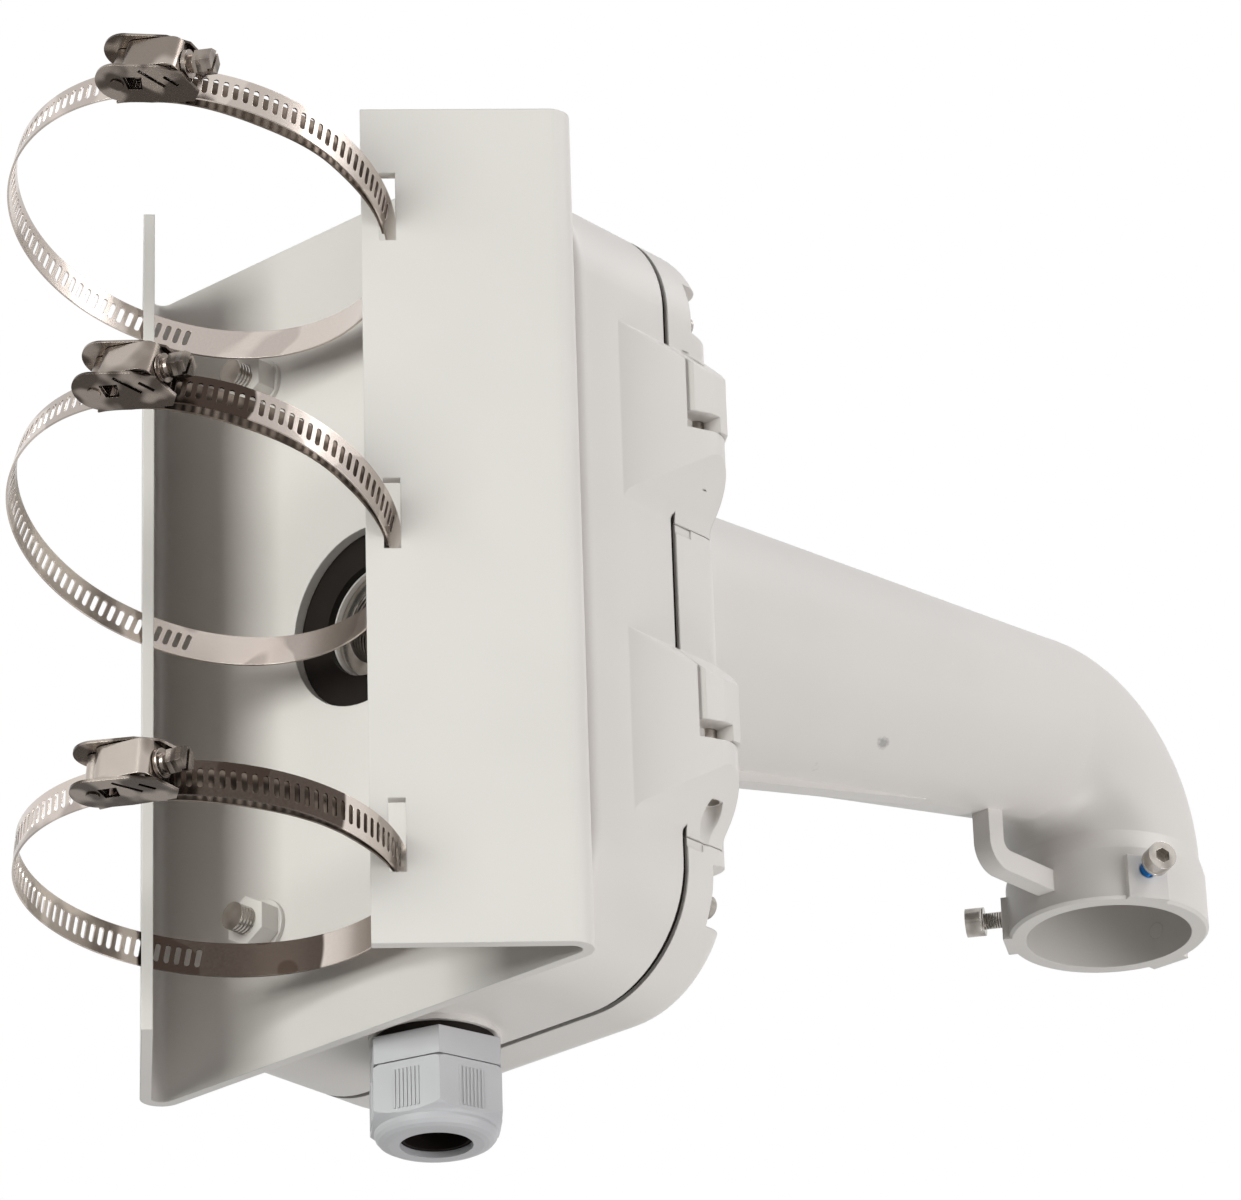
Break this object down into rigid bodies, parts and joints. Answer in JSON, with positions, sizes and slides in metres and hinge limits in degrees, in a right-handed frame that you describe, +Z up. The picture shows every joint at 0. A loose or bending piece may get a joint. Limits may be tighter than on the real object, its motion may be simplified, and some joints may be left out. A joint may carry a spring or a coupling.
{
  "type": "camera pole mount bracket",
  "caption": "Folded plate strapped to a pole by worm-drive bands, with a hinged junction box, a cable gland and a hollow gooseneck arm that ends in a camera socket.",
  "frame": {"origin": "centre of the pole plate's round cable hole, on the middle of the sheet", "axes": "+X from the pole along the arm to the camera, +Y across to the side without hinges, +Z up"},
  "size_m": [0.6304, 0.2138, 0.3485],
  "materials": {
    "powder_coat": "fine satin powder coat",
    "stainless": "bright rolled stainless",
    "plated_steel": "zinc plated",
    "rubber": "matt",
    "gland_plastic": "fine matt",
    "brass": "satin"
  },
  "bodies": {
    "root": {"pole_plate": "powder_coat", "plate_bolts": "plated_steel", "plate_nuts": "powder_coat", "plate_washers": "powder_coat", "rear_gasket": "rubber", "box_body": "powder_coat", "cable_hub": "plated_steel", "hub_locknut": "plated_steel", "cover_gasket": "rubber", "hinge_pins": "plated_steel", "ground_screw": "brass", "gland_body": "gland_plastic", "gland_washer": "rubber", "gland_locknut": "gland_plastic", "gland_seal": "rubber", "clamp_1_band": "stainless", "clamp_1_housing": "stainless", "clamp_1_pivot": "stainless", "clamp_2_band": "stainless", "clamp_2_housing": "stainless", "clamp_2_pivot": "stainless", "clamp_3_band": "stainless", "clamp_3_housing": "stainless", "clamp_3_pivot": "stainless"},
    "cover": {"box_cover": "powder_coat", "arm": "powder_coat", "root_seal": "rubber", "root_bolts": "plated_steel"},
    "cover_screw_1": {"cover_screw_1": "plated_steel"},
    "cover_screw_2": {"cover_screw_2": "plated_steel"},
    "cover_screw_3": {"cover_screw_3": "plated_steel"},
    "cover_screw_4": {"cover_screw_4": "plated_steel"},
    "lock_screw_1": {"lock_screw_1": "plated_steel"},
    "lock_screw_2": {"lock_screw_2": "plated_steel"},
    "lock_screw_3": {"lock_screw_3": "plated_steel"},
    "gland_nut": {"gland_nut": "gland_plastic"},
    "clamp_1_saddle": {"clamp_1_saddle": "stainless"},
    "clamp_1_worm": {"clamp_1_worm": "stainless"},
    "clamp_2_saddle": {"clamp_2_saddle": "stainless"},
    "clamp_2_worm": {"clamp_2_worm": "stainless"},
    "clamp_3_saddle": {"clamp_3_saddle": "stainless"},
    "clamp_3_worm": {"clamp_3_worm": "stainless"}
  },
  "joints": [
    {"name": "cover_hinge", "type": "hinge", "parent": "root", "child": "cover", "pos_m": [0.0642, -0.1001, 0], "axis": [0, 0, -1], "range_deg": [0, 95]},
    {"name": "cover_screw_1_travel", "type": "slide", "parent": "cover", "child": "cover_screw_1", "axis": [-1, 0, 0], "range_m": [0, 0.006]},
    {"name": "cover_screw_2_travel", "type": "slide", "parent": "cover", "child": "cover_screw_2", "axis": [-1, 0, 0], "range_m": [0, 0.006]},
    {"name": "cover_screw_3_travel", "type": "slide", "parent": "cover", "child": "cover_screw_3", "axis": [-1, 0, 0], "range_m": [0, 0.006]},
    {"name": "cover_screw_4_travel", "type": "slide", "parent": "cover", "child": "cover_screw_4", "axis": [-1, 0, 0], "range_m": [0, 0.006]},
    {"name": "lock_screw_1_travel", "type": "slide", "parent": "cover", "child": "lock_screw_1", "axis": [-0.5, 0.866, 0], "range_m": [-0.007, 0.0065]},
    {"name": "lock_screw_2_travel", "type": "slide", "parent": "cover", "child": "lock_screw_2", "axis": [-0.5, -0.866, 0], "range_m": [-0.007, 0.0065]},
    {"name": "lock_screw_3_travel", "type": "slide", "parent": "cover", "child": "lock_screw_3", "axis": [1, 0, 0], "range_m": [-0.003, 0.004]},
    {"name": "gland_nut_turn", "type": "hinge", "parent": "root", "child": "gland_nut", "pos_m": [0.031, 0, -0.175], "axis": [0, 0, -1], "continuous": true},
    {"name": "clamp_1_release", "type": "hinge", "parent": "root", "child": "clamp_1_saddle", "pos_m": [-0.14799, -0.02815, 0.14867], "axis": [-0.2957, 0, -0.9553], "range_deg": [-8, 65]},
    {"name": "clamp_1_worm_turn", "type": "hinge", "parent": "clamp_1_saddle", "child": "clamp_1_worm", "pos_m": [-0.14286, -0.03731, 0.14708], "axis": [0.3579, -0.9272, -0.1108], "continuous": true},
    {"name": "clamp_2_release", "type": "hinge", "parent": "root", "child": "clamp_2_saddle", "pos_m": [-0.14901, -0.01937, 0.03283], "axis": [-0.3305, 0, -0.9438], "range_deg": [-8, 65]},
    {"name": "clamp_2_worm_turn", "type": "hinge", "parent": "clamp_2_saddle", "child": "clamp_2_worm", "pos_m": [-0.14503, -0.02911, 0.03144], "axis": [0.2443, -0.9659, -0.0855], "continuous": true},
    {"name": "clamp_3_release", "type": "hinge", "parent": "root", "child": "clamp_3_saddle", "pos_m": [-0.14778, -0.01727, -0.11167], "axis": [-0.1132, 0, -0.9936], "range_deg": [-8, 65]},
    {"name": "clamp_3_worm_turn", "type": "hinge", "parent": "clamp_3_saddle", "child": "clamp_3_worm", "pos_m": [-0.14376, -0.02708, -0.11213], "axis": [0.2404, -0.9703, -0.0274], "continuous": true}
  ]
}
